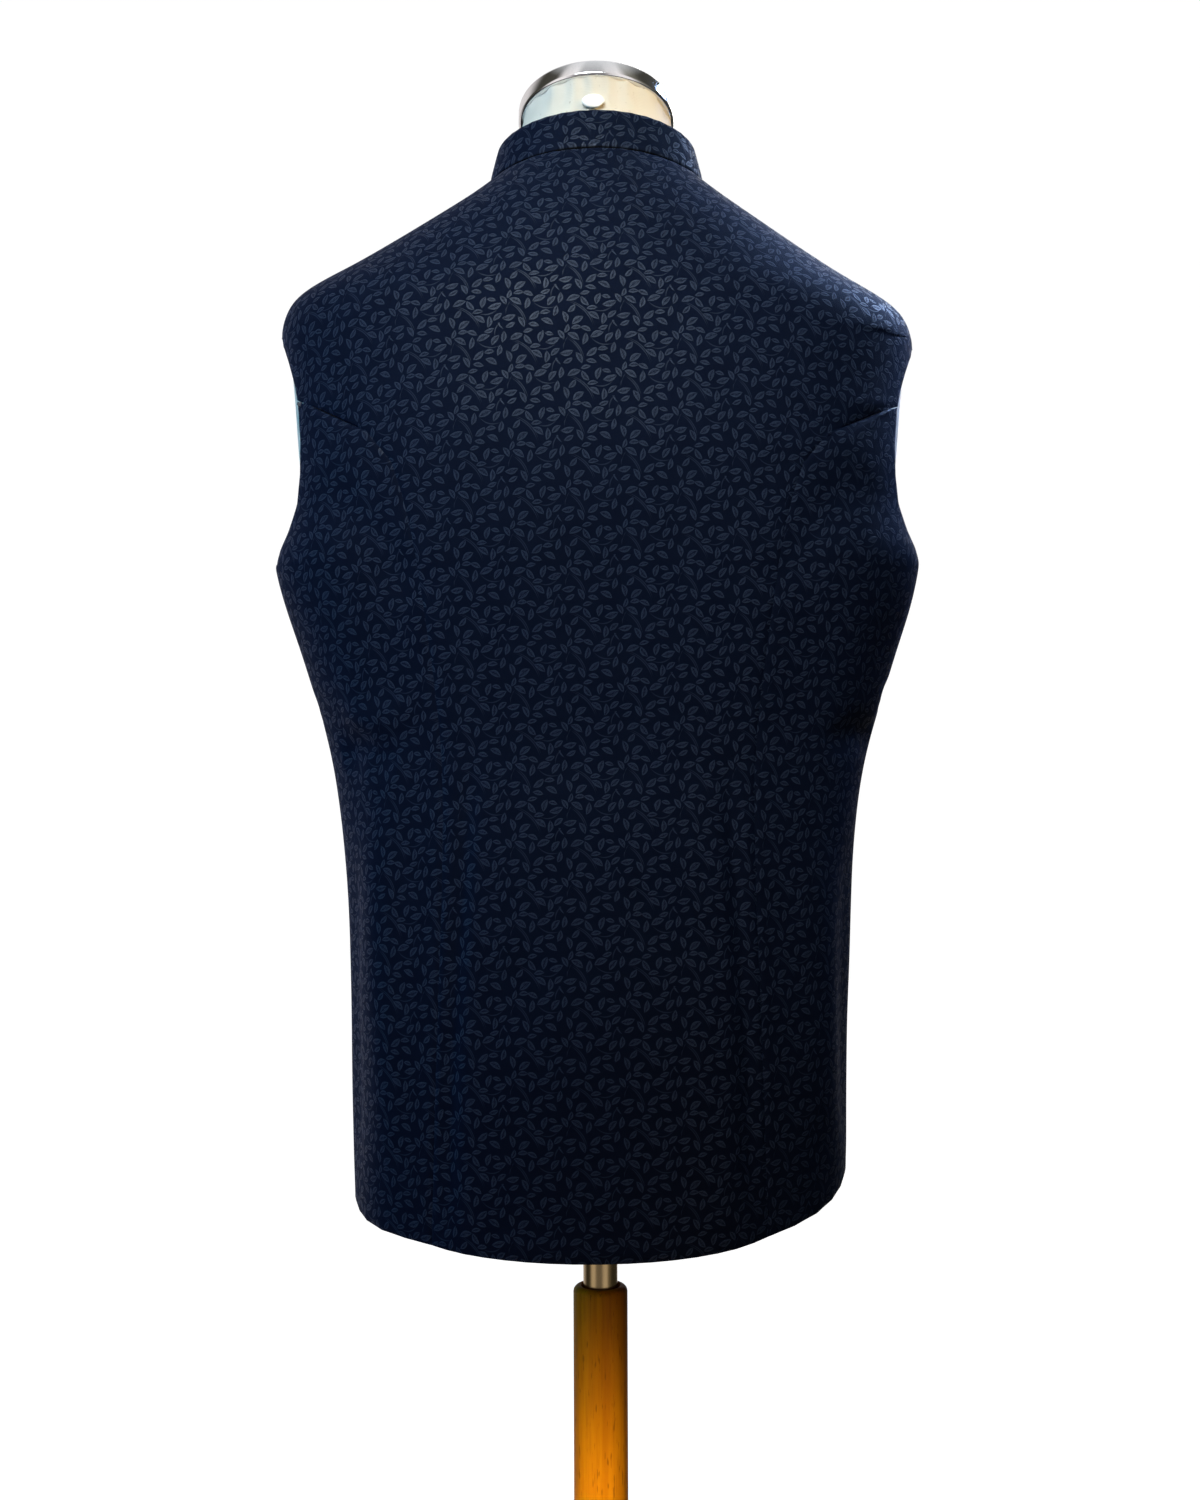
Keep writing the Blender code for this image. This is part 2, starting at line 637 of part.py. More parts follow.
def main():
    for old in list(bpy.data.objects):
        bpy.data.objects.remove(old, do_unlink=True)
    cloth = material("figured_navy", (0.012, 0.016, 0.034), 0.62)
    button = material("navy_button", (0.010, 0.012, 0.022), 0.35)
    cream = material("cream_cloth", (0.72, 0.66, 0.55), 0.85)
    chrome = material("chrome", (0.80, 0.80, 0.81), 0.12, 1.0)
    white = material("white_fixing", (0.88, 0.88, 0.86), 0.40)
    steel = material("steel", (0.62, 0.62, 0.63), 0.28, 1.0)
    wood = material("honey_wood", (0.48, 0.22, 0.08), 0.32)

    stand = empty("stand_pivot", (0, 0, 0))
    slide = empty("slide_pivot", (0, 0, POST_TOP), stand)
    form_turn = empty("form_pivot", (0, 0, FORM_BOTTOM), slide)
    make_stand(steel, wood, slide, stand)
    form, _ = make_form(cream, chrome, white, form_turn)
    bpy.context.view_layer.update()
    make_stud(form, white, form_turn)
    make_panels(cloth, form_turn)
    make_collar(cloth, form_turn)
    make_buttons(button, form_turn)


main()
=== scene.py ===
"""A nehru jacket of leaf-figured navy cloth on a limbless dress form, with its finishes and light.

Metres, +Z up.  The jacket's back faces +Y and the wearer's left is +X.  A place on the body is
given by its turn, in degrees from centre back towards the wearer's left, and its height.
"""
import math
from collections import namedtuple

import bmesh
import bpy
import numpy as np
from mathutils import Matrix, Vector
from mathutils.kdtree import KDTree


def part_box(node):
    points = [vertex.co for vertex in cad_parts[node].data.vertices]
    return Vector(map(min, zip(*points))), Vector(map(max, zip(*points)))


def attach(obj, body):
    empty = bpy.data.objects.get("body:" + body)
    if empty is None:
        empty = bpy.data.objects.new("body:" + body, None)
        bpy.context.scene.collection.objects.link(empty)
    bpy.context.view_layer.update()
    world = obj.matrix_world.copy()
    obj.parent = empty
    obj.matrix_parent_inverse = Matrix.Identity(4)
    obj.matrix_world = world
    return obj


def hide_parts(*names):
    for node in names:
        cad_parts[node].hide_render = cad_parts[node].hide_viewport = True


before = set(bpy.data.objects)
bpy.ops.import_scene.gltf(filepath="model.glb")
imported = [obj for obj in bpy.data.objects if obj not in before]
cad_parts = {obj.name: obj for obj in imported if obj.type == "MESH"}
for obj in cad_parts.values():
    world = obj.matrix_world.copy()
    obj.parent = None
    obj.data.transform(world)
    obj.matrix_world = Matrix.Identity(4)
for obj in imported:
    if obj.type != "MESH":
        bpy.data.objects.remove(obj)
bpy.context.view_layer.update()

MM = 0.001
CLOTH_WALL = 2 * MM
COLLAR_WALL = 3 * MM


# ---------------------------------------------------------------- the camera
def set_camera():
    """A long lens at chest height, square to the back, a hair off level."""
    lens = bpy.data.cameras.new("camera")
    lens.lens = 46.66
    lens.shift_x = 0.001
    lens.shift_y = -0.0133
    made = bpy.data.objects.new("camera", lens)
    bpy.context.scene.collection.objects.link(made)
    facing = Matrix.Rotation(math.pi, 4, "Z") @ Matrix.Rotation(math.pi / 2, 4, "X")
    roll = Matrix.Rotation(math.radians(-0.2), 4, "Z")
    made.matrix_world = Matrix.Translation((0.0, 1.385, 1.070)) @ facing @ roll
    bpy.context.scene.camera = made


# ---------------------------------------------------------------- materials
class Value:
    """A number that varies over a surface.  Arithmetic on it adds Math nodes."""

    def __init__(self, finish, socket):
        self.finish = finish
        self.socket = socket

    def __add__(self, other):
        return self.finish.maths("ADD", self, other)

    def __sub__(self, other):
        return self.finish.maths("SUBTRACT", self, other)

    def __rsub__(self, other):
        return self.finish.maths("SUBTRACT", other, self)

    def __mul__(self, other):
        return self.finish.maths("MULTIPLY", self, other)

    def __truediv__(self, other):
        return self.finish.maths("DIVIDE", self, other)

    def __abs__(self):
        return self.finish.maths("ABSOLUTE", self)

    __radd__ = __add__
    __rmul__ = __mul__

    def times_plus(self, factor, extra):
        return self.finish.maths("MULTIPLY_ADD", self, factor, extra)

    def larger(self, other):
        return self.finish.maths("MAXIMUM", self, other)

    def rounded(self):
        return self.finish.maths("ROUND", self)

    def sine(self):
        return self.finish.maths("SINE", self)

    def between(self, low, high, start=0.0, end=1.0):
        """A smooth step from start to end as the value goes from low to high."""
        return self.finish.node("ShaderNodeMapRange", {"interpolation_type": "SMOOTHSTEP"},
                                {0: self, 1: low, 2: high, 3: start, 4: end})


class Finish:
    """A material, made by naming what varies and setting what doesn't."""

    def __init__(self, name, **constants):
        self.material = bpy.data.materials.new(name)
        self.material.use_nodes = True
        self.tree = self.material.node_tree
        self.shader = self.tree.nodes["Principled BSDF"]
        for socket, value in constants.items():
            self.shader.inputs[socket.replace("_", " ").title()].default_value = value

    def node(self, kind, settings=None, values=None, output=0):
        """A node with its settings, then its sockets' values or links; returns one output."""
        made = self.tree.nodes.new(kind)
        for setting, value in (settings or {}).items():
            setattr(made, setting, value)
        for socket, value in (values or {}).items():
            self.put(made.inputs[socket], value)
        return Value(self, made.outputs[output])

    def put(self, socket, value):
        if isinstance(value, Value):
            self.tree.links.new(value.socket, socket)
        elif socket.type == "RGBA" and len(value) == 3:
            socket.default_value = (*value, 1.0)
        else:
            socket.default_value = value

    def maths(self, operation, *terms):
        return self.node("ShaderNodeMath", {"operation": operation}, dict(enumerate(terms)))

    def coordinates(self, kind="Object", stretch=(1, 1, 1)):
        where = self.node("ShaderNodeTexCoord", output=kind)
        return self.node("ShaderNodeMapping", values={"Vector": where, "Scale": stretch})

    def noise(self, where, scale, detail=2.0, roughness=0.5):
        return self.node("ShaderNodeTexNoise", values={
            "Vector": where, "Scale": scale, "Detail": detail, "Roughness": roughness})

    def mix(self, share, first, second, blend="MIX"):
        made = self.tree.nodes.new("ShaderNodeMix")
        made.data_type = "RGBA"
        made.blend_type = blend
        self.put(made.inputs[0], share)
        self.put(made.inputs[6], first)
        self.put(made.inputs[7], second)
        return Value(self, made.outputs[2])

    def bump(self, height, distance, strength=1.0):
        return self.node("ShaderNodeBump", values={
            "Height": height, "Distance": distance, "Strength": strength})

    def done(self, **varying):
        for socket, value in varying.items():
            self.put(self.shader.inputs[socket.replace("_", " ").title()], value)
        return self.material


# The repeat of the figure: columns of sprays, each column half a repeat above the last one.  A
# leaf is placed in millimetres from the middle of its repeat and leans in degrees.
Leaf = namedtuple("Leaf", "x y lean half_length half_width bend")
REPEAT_WIDE, REPEAT_HIGH = 37.0, 51.0
EDGE_SWAY, END_SWAY = 3.0, 1.5
LEAVES = [
    Leaf(-10.6,  20.8,  20, 4.7, 2.10,  0.03), Leaf(-3.4,  18.4, -54, 4.2, 1.85, -0.04),
    Leaf(  5.2,  20.2,  72, 4.3, 1.95,  0.04), Leaf(12.8,  17.0,  18, 4.8, 2.20, -0.03),
    Leaf( 18.4,  21.0, -58, 3.8, 1.75,  0.04), Leaf( 1.4,  13.8,   8, 3.6, 1.60,  0.04),
    Leaf(-15.8,   7.6, -74, 4.2, 1.85,  0.05), Leaf(-8.0,   5.4,  36, 4.6, 2.20,  0.03),
    Leaf(-11.6,  13.2,  48, 3.6, 1.70, -0.04), Leaf( 2.6,   8.6, -34, 4.4, 2.00,  0.04),
    Leaf(  8.8,   6.2,  84, 4.1, 1.85, -0.05), Leaf(14.2,   9.4,  40, 3.8, 1.80,  0.03),
    Leaf(-10.6,  -5.6, -32, 4.6, 2.10,  0.04), Leaf(-8.8,   0.4,   6, 3.4, 1.60,  0.04),
    Leaf( -3.2,  -7.6,  76, 4.2, 1.85, -0.04), Leaf( 4.4,  -4.4,  22, 4.7, 2.20,  0.03),
    Leaf( 12.2,  -6.4,  52, 4.2, 1.95,  0.05), Leaf(18.0,  -4.6,  80, 4.0, 1.80, -0.04),
    Leaf(-15.2, -16.8,  12, 4.6, 2.05, -0.04), Leaf(-7.0, -20.2, -62, 4.2, 1.85,  0.04),
    Leaf(  1.2, -16.4,  40, 4.5, 2.10, -0.03), Leaf( 9.6, -20.6, -28, 4.4, 2.00,  0.04),
    Leaf(  8.2, -14.2,   6, 3.6, 1.65,  0.04), Leaf(15.0, -13.6,  74, 3.9, 1.75, -0.04),
    Leaf( -2.6,  -0.6, -24, 3.8, 1.70,  0.04), Leaf( 8.6,   0.2,  20, 3.4, 1.60, -0.04),
    Leaf( 17.0,   3.0, -44, 3.5, 1.60,  0.04), Leaf(-14.9, -0.6,  68, 3.3, 1.50, -0.05),
    Leaf(  0.8, -22.6, -12, 3.7, 1.65,  0.03), Leaf(-14.4, -22.2, 28, 3.6, 1.60, -0.03),
    Leaf( -3.0,  24.4,  14, 3.4, 1.50,  0.03), Leaf(10.6,  21.8, -14, 3.1, 1.45,  0.04),
]
STEMS = [
    Leaf(-4.2,  11.6, -46, 11.0, 0.38,  0.022), Leaf( 8.8,  12.6,  12, 6.4, 0.42, -0.055),
    Leaf(-8.2, -13.4, -56,  8.5, 0.38,  0.025), Leaf( 7.6, -10.2, -14, 7.4, 0.42, -0.045),
    Leaf(13.6,   1.4,  66,  5.5, 0.40,  0.050), Leaf(-16.2, -9.8,  70, 4.5, 0.36,  0.050),
]
TWIN_STEMS = (0, 2)
TWIN_GAP = 0.55


def figured_cloth():
    """Navy weave with a leaf figure that stands a little proud and catches more light, and painted shade
    along the collar's sewn lower edge.
    """
    cloth = Finish("figured_navy_cloth", coat_roughness=0.42, sheen_weight=0.05, sheen_roughness=0.40,
                   sheen_tint=(0.16, 0.34, 1.0, 1.0))
    cloth.shader.inputs["Specular IOR Level"].default_value = 0.03
    grain = cloth.node("ShaderNodeUVMap", {"uv_map": "grain"})
    flat = cloth.node("ShaderNodeVectorMath", {"operation": "SCALE"}, {0: grain, "Scale": 1 / MM})
    split = cloth.tree.nodes.new("ShaderNodeSeparateXYZ")
    cloth.tree.links.new(flat.socket, split.inputs[0])
    across, up = Value(cloth, split.outputs[0]), Value(cloth, split.outputs[1])

    turn = 2 * math.pi
    sway = (up * (2 * turn / REPEAT_HIGH)).sine() * EDGE_SWAY
    column = ((across + sway) / REPEAT_WIDE).rounded()
    x = column.times_plus(-REPEAT_WIDE, across)
    raised = column.times_plus(-REPEAT_HIGH / 2, up)
    end_sway = (x * (turn / REPEAT_WIDE)).sine() * END_SWAY
    row = ((raised + end_sway) / REPEAT_HIGH).rounded()
    y = row.times_plus(-REPEAT_HIGH, raised)
    place = cloth.node("ShaderNodeCombineXYZ", values={0: x, 1: y, 2: 1.0})

    def in_leaf(leaf, twin_gap=0.0):
        """How far inside a leaf's outline a point is, below zero outside, and its offset."""
        cosine, sine = math.cos(math.radians(leaf.lean)), math.sin(math.radians(leaf.lean))
        run = (cosine, sine, -leaf.x * cosine - leaf.y * sine)
        side = (-sine, cosine, leaf.x * sine - leaf.y * cosine - leaf.bend * leaf.half_length ** 2 * 0.4)
        along = cloth.node("ShaderNodeVectorMath", {"operation": "DOT_PRODUCT"},
                           {0: place, 1: run}, output="Value")
        off = cloth.node("ShaderNodeVectorMath", {"operation": "DOT_PRODUCT"},
                         {0: place, 1: side}, output="Value")
        square = along * along
        off = abs(square.times_plus(leaf.bend, off))
        if twin_gap:
            off = abs(off - twin_gap)
        width = square.times_plus(-leaf.half_width / leaf.half_length ** 2, leaf.half_width)
        return width - off, off

    leaves = veins = None
    for leaf in LEAVES:
        inside, off = in_leaf(leaf)
        leaves = inside if leaves is None else leaves.larger(inside)
        vein = cloth.maths("MINIMUM", inside, 0.34 - off)
        veins = vein if veins is None else veins.larger(vein)
    stems = None
    for index, stem in enumerate(STEMS):
        inside, _ = in_leaf(stem, TWIN_GAP if index in TWIN_STEMS else 0.0)
        stems = inside if stems is None else stems.larger(inside)

    leaf_area = leaves.between(-0.25, 0.25)
    stem_area = stems.between(-0.20, 0.20)
    vein_area = veins.between(-0.05, 0.20)
    # A lighter band round each leaf's edge: partly the figure's woven outline, partly a painted highlight
    # along the raised edge.
    rim = 1.0 - abs(leaves - 0.45).between(0.15, 0.60)
    slant = cloth.node("ShaderNodeCombineXYZ", values={0: (across + up) * 0.30, 1: (across - up) * 1.25})
    thread = cloth.noise(slant, 0.95, 3.0, 0.65)
    worn = cloth.noise(flat, 0.055, 2.0)
    slub = cloth.noise(flat, 2.6, 1.0)
    mottle = thread.between(0.34, 0.66)
    figure = (0.30 + 0.66 * mottle + 0.40 * rim - 0.40 * vein_area) * leaf_area
    figure = figure.larger(0.62 * stem_area)
    ground = 0.74 + 0.30 * slub + 0.22 * (worn - 0.5)

    ground_colour = cloth.mix(ground.between(0.70, 1.05), (0.0012, 0.0030, 0.0100),
                              (0.0030, 0.0060, 0.0165))
    colour = cloth.mix(figure.between(0.0, 1.15), ground_colour, (0.0135, 0.0220, 0.0450))
    # Painted shade: a near-black line along the collar's sewn lower edge stands in for the shadow under the
    # seam, and the coat is left off there.
    painted_seam_shade = cloth.node("ShaderNodeAttribute", {"attribute_name": "painted_seam_shade"}, output="Fac").between(0.05, 0.45)
    colour = cloth.mix(painted_seam_shade, colour, (0.0003, 0.0005, 0.0012))
    twill = ((across + up) * (turn / 0.9)).sine() * 0.5
    relief = leaf_area * 0.55 + 0.20 * rim + 0.30 * stem_area + 0.25 * mottle * leaf_area
    height = relief + (0.10 * twill + 0.30 * slub) * (1.0 - 0.5 * leaf_area)
    return cloth.done(base_color=colour, roughness=0.72 - 0.16 * figure,
                      coat_weight=0.15 * figure * (1.0 - painted_seam_shade), normal=cloth.bump(height, 0.45 * MM, 0.8))


def lining():
    """Plain navy satin inside the jacket."""
    satin = Finish("navy_lining", roughness=0.38)
    where = satin.coordinates(stretch=(1, 1, 0.25))
    streak = satin.noise(where, 900.0, 1.0)
    colour = satin.mix(streak, (0.006, 0.009, 0.022), (0.011, 0.015, 0.034))
    return satin.done(base_color=colour, normal=satin.bump(streak, 0.05 * MM, 0.4))


def cream_jersey():
    """A knitted stretch cover: fine ribs, faint soiling."""
    jersey = Finish("cream_jersey", sheen_weight=0.15, sheen_roughness=0.6)
    where = jersey.coordinates()
    split = jersey.tree.nodes.new("ShaderNodeSeparateXYZ")
    jersey.tree.links.new(where.socket, split.inputs[0])
    x, y, z = (Value(jersey, output) for output in split.outputs)
    turn = jersey.maths("ARCTAN2", x, y)
    rib = (turn * 420.0).sine()
    course = (z * (2 * math.pi / 0.0011)).sine()
    soil = jersey.noise(where, 14.0, 4.0, 0.6)
    speck = jersey.noise(where, 260.0, 2.0)
    shade = soil.between(0.35, 0.70)
    colour = jersey.mix(shade, (0.60, 0.56, 0.47), (0.66, 0.63, 0.56))
    colour = jersey.mix(speck.between(0.66, 0.78), colour, (0.40, 0.35, 0.28))
    height = 0.5 * rib + 0.35 * course + 0.8 * speck
    return jersey.done(base_color=colour, roughness=0.80 + 0.10 * shade,
                       normal=jersey.bump(height, 0.12 * MM, 0.5))


def polished(name, colour, roughness, smear):
    """Bright metal with faint wiping marks."""
    metal = Finish(name, metallic=1.0)
    where = metal.coordinates(stretch=(1, 1, 0.2))
    wipe = metal.noise(where, 55.0, 4.0, 0.65)
    mark = metal.noise(where, 420.0, 2.0)
    tone = metal.mix(wipe.between(0.3, 0.75), colour, tuple(part * 0.86 for part in colour))
    return metal.done(base_color=tone, roughness=wipe.times_plus(smear, roughness),
                      normal=metal.bump(mark, 0.02 * MM, 0.15))


def honey_lacquer():
    """Turned beech under amber lacquer: long grain, short dark flecks."""
    wood = Finish("honey_lacquer", coat_weight=0.03, coat_roughness=0.22)
    wood.shader.inputs["Specular IOR Level"].default_value = 0.02
    long = wood.coordinates(stretch=(1, 1, 0.05))
    short = wood.coordinates(stretch=(1, 1, 0.14))
    figure = wood.noise(long, 75.0, 4.0, 0.6)
    fine = wood.noise(long, 420.0, 3.0, 0.6)
    fleck = wood.noise(short, 620.0, 1.0)
    cloud = wood.noise(wood.coordinates(), 9.0, 2.0)
    colour = wood.mix(figure.between(0.30, 0.70), (0.330, 0.088, 0.001), (0.470, 0.150, 0.002))
    colour = wood.mix(fine.between(0.45, 0.75, 0.0, 0.45), colour, (0.190, 0.050, 0.003))
    colour = wood.mix(fleck.between(0.62, 0.74, 0.0, 0.6), colour, (0.120, 0.030, 0.002))
    colour = wood.mix(cloud.between(0.35, 0.75, 0.0, 0.35), colour, (0.230, 0.055, 0.003))
    return wood.done(base_color=colour, roughness=0.36 + 0.12 * fine,
                     normal=wood.bump(fine, 0.05 * MM, 0.25))


def horn_button():
    """Dark navy polished button stock with faint cloudy streaks."""
    stock = Finish("navy_button_stock", coat_weight=0.08, coat_roughness=0.12)
    stock.shader.inputs["Specular IOR Level"].default_value = 0.25
    where = stock.coordinates(stretch=(1, 1, 0.4))
    cloud = stock.noise(where, 190.0, 3.0, 0.6)
    colour = stock.mix(cloud.between(0.35, 0.7), (0.006, 0.008, 0.018), (0.022, 0.026, 0.044))
    return stock.done(base_color=colour, roughness=0.26 + 0.16 * cloud,
                      normal=stock.bump(cloud, 0.03 * MM, 0.3))


def sewing_thread():
    thread = Finish("navy_thread", sheen_weight=0.3)
    where = thread.coordinates()
    ply = thread.node("ShaderNodeTexWave", {"bands_direction": "DIAGONAL"},
                      {"Vector": where, "Scale": 900.0, "Distortion": 0.5}, output="Fac")
    colour = thread.mix(ply, (0.006, 0.009, 0.022), (0.020, 0.027, 0.052))
    return thread.done(base_color=colour, roughness=0.55 + 0.1 * ply,
                       normal=thread.bump(ply, 0.06 * MM, 0.5))


def white_moulding():
    plastic = Finish("white_moulding")
    where = plastic.coordinates()
    tone = plastic.noise(where, 130.0, 2.0)
    colour = plastic.mix(tone, (0.86, 0.86, 0.84), (0.94, 0.94, 0.93))
    return plastic.done(base_color=colour, roughness=0.34 + 0.10 * tone,
                        normal=plastic.bump(tone, 0.04 * MM, 0.2))


# ---------------------------------------------------------------- working on a mesh
def only(piece):
    """Leaves this piece alone selected and active."""
    if bpy.context.object and bpy.context.object.mode != "OBJECT":
        bpy.ops.object.mode_set(mode="OBJECT")
    bpy.ops.object.select_all(action="DESELECT")
    piece.select_set(True)
    bpy.context.view_layer.objects.active = piece


def points_of(mesh):
    values = np.empty(len(mesh.vertices) * 3, np.float64)
    mesh.vertices.foreach_get("co", values)
    return values.reshape(-1, 3)


def normals_of(mesh):
    values = np.empty(len(mesh.vertices) * 3, np.float32)
    mesh.vertex_normals.foreach_get("vector", values)
    return values.reshape(-1, 3).astype(np.float64)


def set_points(mesh, points):
    mesh.vertices.foreach_set("co", points.astype(np.float32).ravel())
    mesh.update()


def apply_modifier(piece, kind, **settings):
    only(piece)
    made = piece.modifiers.new(kind.lower(), kind)
    for setting, value in settings.items():
        setattr(made, setting, value)
    bpy.ops.object.modifier_apply(modifier=made.name)


def joined_copy(node, name):
    """A new piece from a CAD node, its loose triangles joined."""
    made = bpy.data.objects.new(name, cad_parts[node].data.copy())
    bpy.context.scene.collection.objects.link(made)
    made.data.materials.clear()
    only(made)
    bpy.ops.mesh.customdata_custom_splitnormals_clear()
    bpy.ops.object.mode_set(mode="EDIT")
    bpy.ops.mesh.select_all(action="SELECT")
    bpy.ops.mesh.remove_doubles(threshold=0.02 * MM)
    bpy.ops.object.mode_set(mode="OBJECT")
    return made


def keep_outer_side(piece):
    """Deletes all but the outer side of a closed wall: the faces reached without a sharp turn."""
    work = bmesh.new()
    work.from_mesh(piece.data)
    work.faces.ensure_lookup_table()

    def faces_out(face):
        centre = face.calc_center_median()
        return face.normal.dot(Vector((centre.x, centre.y, 0.0)).normalized()) > 0.6

    seed = max(filter(faces_out, work.faces), key=lambda face: face.calc_area())
    reached, front = {seed}, [seed]
    while front:
        face = front.pop()
        for edge in face.edges:
            for other in edge.link_faces:
                if other not in reached and other.normal.angle(face.normal) < math.radians(50):
                    reached.add(other)
                    front.append(other)
    corners = {vertex for face in reached for vertex in face.verts}
    reached = {face for face in work.faces if all(vertex in corners for vertex in face.verts)}
    share = sum(face.calc_area() for face in reached) / sum(face.calc_area() for face in work.faces)
    if not 0.42 < share < 0.54:
        raise ValueError("%s: its outer side is %.2f of its surface" % (piece.name, share))
    gone = [face for face in work.faces if face not in reached]
    bmesh.ops.delete(work, geom=gone, context="FACES")
    work.to_mesh(piece.data)
    work.free()


def pair_triangles(piece):
    """Makes quads that follow the rows of the triangles."""
    only(piece)
    bpy.ops.object.mode_set(mode="EDIT")
    bpy.ops.mesh.select_all(action="SELECT")
    bpy.ops.mesh.tris_convert_to_quads(face_threshold=math.radians(60), shape_threshold=math.radians(180),
                                       topology_influence=1.3)
    bpy.ops.object.mode_set(mode="OBJECT")


def lay_flat(piece, anchor, at):
    """Gives the piece a map of its flat cut in metres, the grain upright, and returns its size.

    anchor is a point on the piece, and at its place on the cloth.
    """
    mesh = piece.data
    while mesh.uv_layers:
        mesh.uv_layers.remove(mesh.uv_layers[0])
    mesh.uv_layers.new(name="grain")
    only(piece)
    bpy.ops.object.mode_set(mode="EDIT")
    bpy.ops.mesh.select_all(action="SELECT")
    bpy.ops.uv.unwrap(method="MINIMUM_STRETCH", margin=0.0)
    bpy.ops.object.mode_set(mode="OBJECT")
    layer = mesh.uv_layers["grain"]
    flat = np.empty(len(mesh.loops) * 2, np.float32)
    layer.uv.foreach_get("vector", flat)
    flat = flat.reshape(-1, 2).astype(np.float64)
    points = points_of(mesh)
    mesh.calc_loop_triangles()
    solid_area = flat_area = 0.0
    rise = np.zeros(2)
    for triangle in mesh.loop_triangles:
        a, b, c = points[list(triangle.vertices)]
        p, q, r = flat[list(triangle.loops)]
        solid_area += np.linalg.norm(np.cross(b - a, c - a)) / 2
        sides = np.array([q - p, r - p])
        area = np.linalg.det(sides) / 2
        flat_area += abs(area)
        if abs(area) > 1e-12:
            rise += np.linalg.solve(sides, np.array([(b - a)[2], (c - a)[2]])) * abs(area)
    scale = math.sqrt(solid_area / flat_area)
    turn = math.pi / 2 - math.atan2(rise[1], rise[0])
    cosine, sine = math.cos(turn) * scale, math.sin(turn) * scale
    flat = flat @ np.array([[cosine, sine], [-sine, cosine]])
    nearest = int(np.argmin(np.linalg.norm(points - np.array(anchor), axis=1)))
    loops = np.empty(len(mesh.loops), np.int32)
    mesh.loops.foreach_get("vertex_index", loops)
    flat += np.array(at) - flat[np.nonzero(loops == nearest)[0][0]]
    layer.uv.foreach_set("vector", flat.astype(np.float32).ravel())
    width, length = flat.max(axis=0) - flat.min(axis=0)
    return float(width), float(length), float(solid_area)


def hold_edge(piece):
    """Keeps the corners along the open edge where they are, so that sewn edges still meet."""
    work = bmesh.new()
    work.from_mesh(piece.data)
    held = work.verts.layers.float.new("crease_vert")
    for vertex in work.verts:
        vertex[held] = 1.0 if vertex.is_boundary else 0.0
    work.to_mesh(piece.data)
    work.free()


def close_seams(piece, drop):
    """Lets the open edge out in its own plane, so that sewn neighbours touch, by drop underneath.

    Returns the places of the lower edge.
    """
    work = bmesh.new()
    work.from_mesh(piece.data)
    outwards = {}
    for edge in work.edges:
        if edge.is_boundary:
            loop = edge.link_loops[0]
            run = loop.link_loop_next.vert.co - loop.vert.co
            for vertex in edge.verts:
                way = outwards.setdefault(vertex, Vector((0.0, 0.0, 0.0)))
                way += run.cross(loop.face.normal).normalized()
    lower = []
    for vertex, way in outwards.items():
        way.normalize()
        vertex.co += way * (drop if way.z < -0.5 else SEAM_CLOSING)
        if way.z < -0.5:
            lower.append(vertex.co.copy())
    work.to_mesh(piece.data)
    work.free()
    return lower


def nearness(piece, rim, reach):
    """One at the rim's places, falling to zero at reach from them, for each point."""
    tree = KDTree(len(rim))
    for index, place in enumerate(rim):
        tree.insert(place, index)
    tree.balance()
    return np.array([max(0.0, 1.0 - tree.find(vertex.co)[2] / reach) for vertex in piece.data.vertices])


def paint_seam_shade(piece, rim, reach):
    """Paints shade into the cloth along a stitched seam: one at the seam, falling to zero at reach, for its
    dark shadow line.
    """
    layer = piece.data.attributes.new("painted_seam_shade", "FLOAT", "POINT")
    layer.data.foreach_set("value", nearness(piece, rim, reach))


def round_through(piece, levels):
    """Subdivides into a smooth surface that stays at the height of the corners it had."""
    corners, outwards = points_of(piece.data), normals_of(piece.data)
    control = corners.copy()
    smoothing = piece.modifiers.new("smoothing", "SUBSURF")
    smoothing.boundary_smooth = "PRESERVE_CORNERS"
    smoothing.levels = smoothing.render_levels = 2
    for _ in range(4):
        set_points(piece.data, control)
        bpy.context.view_layer.update()
        shown = piece.evaluated_get(bpy.context.evaluated_depsgraph_get())
        short = ((corners - points_of(shown.data)[:len(corners)]) * outwards).sum(axis=1)
        control += outwards * short[:, None]
    set_points(piece.data, control)
    smoothing.levels = smoothing.render_levels = levels
    only(piece)
    bpy.ops.object.modifier_apply(modifier=smoothing.name)


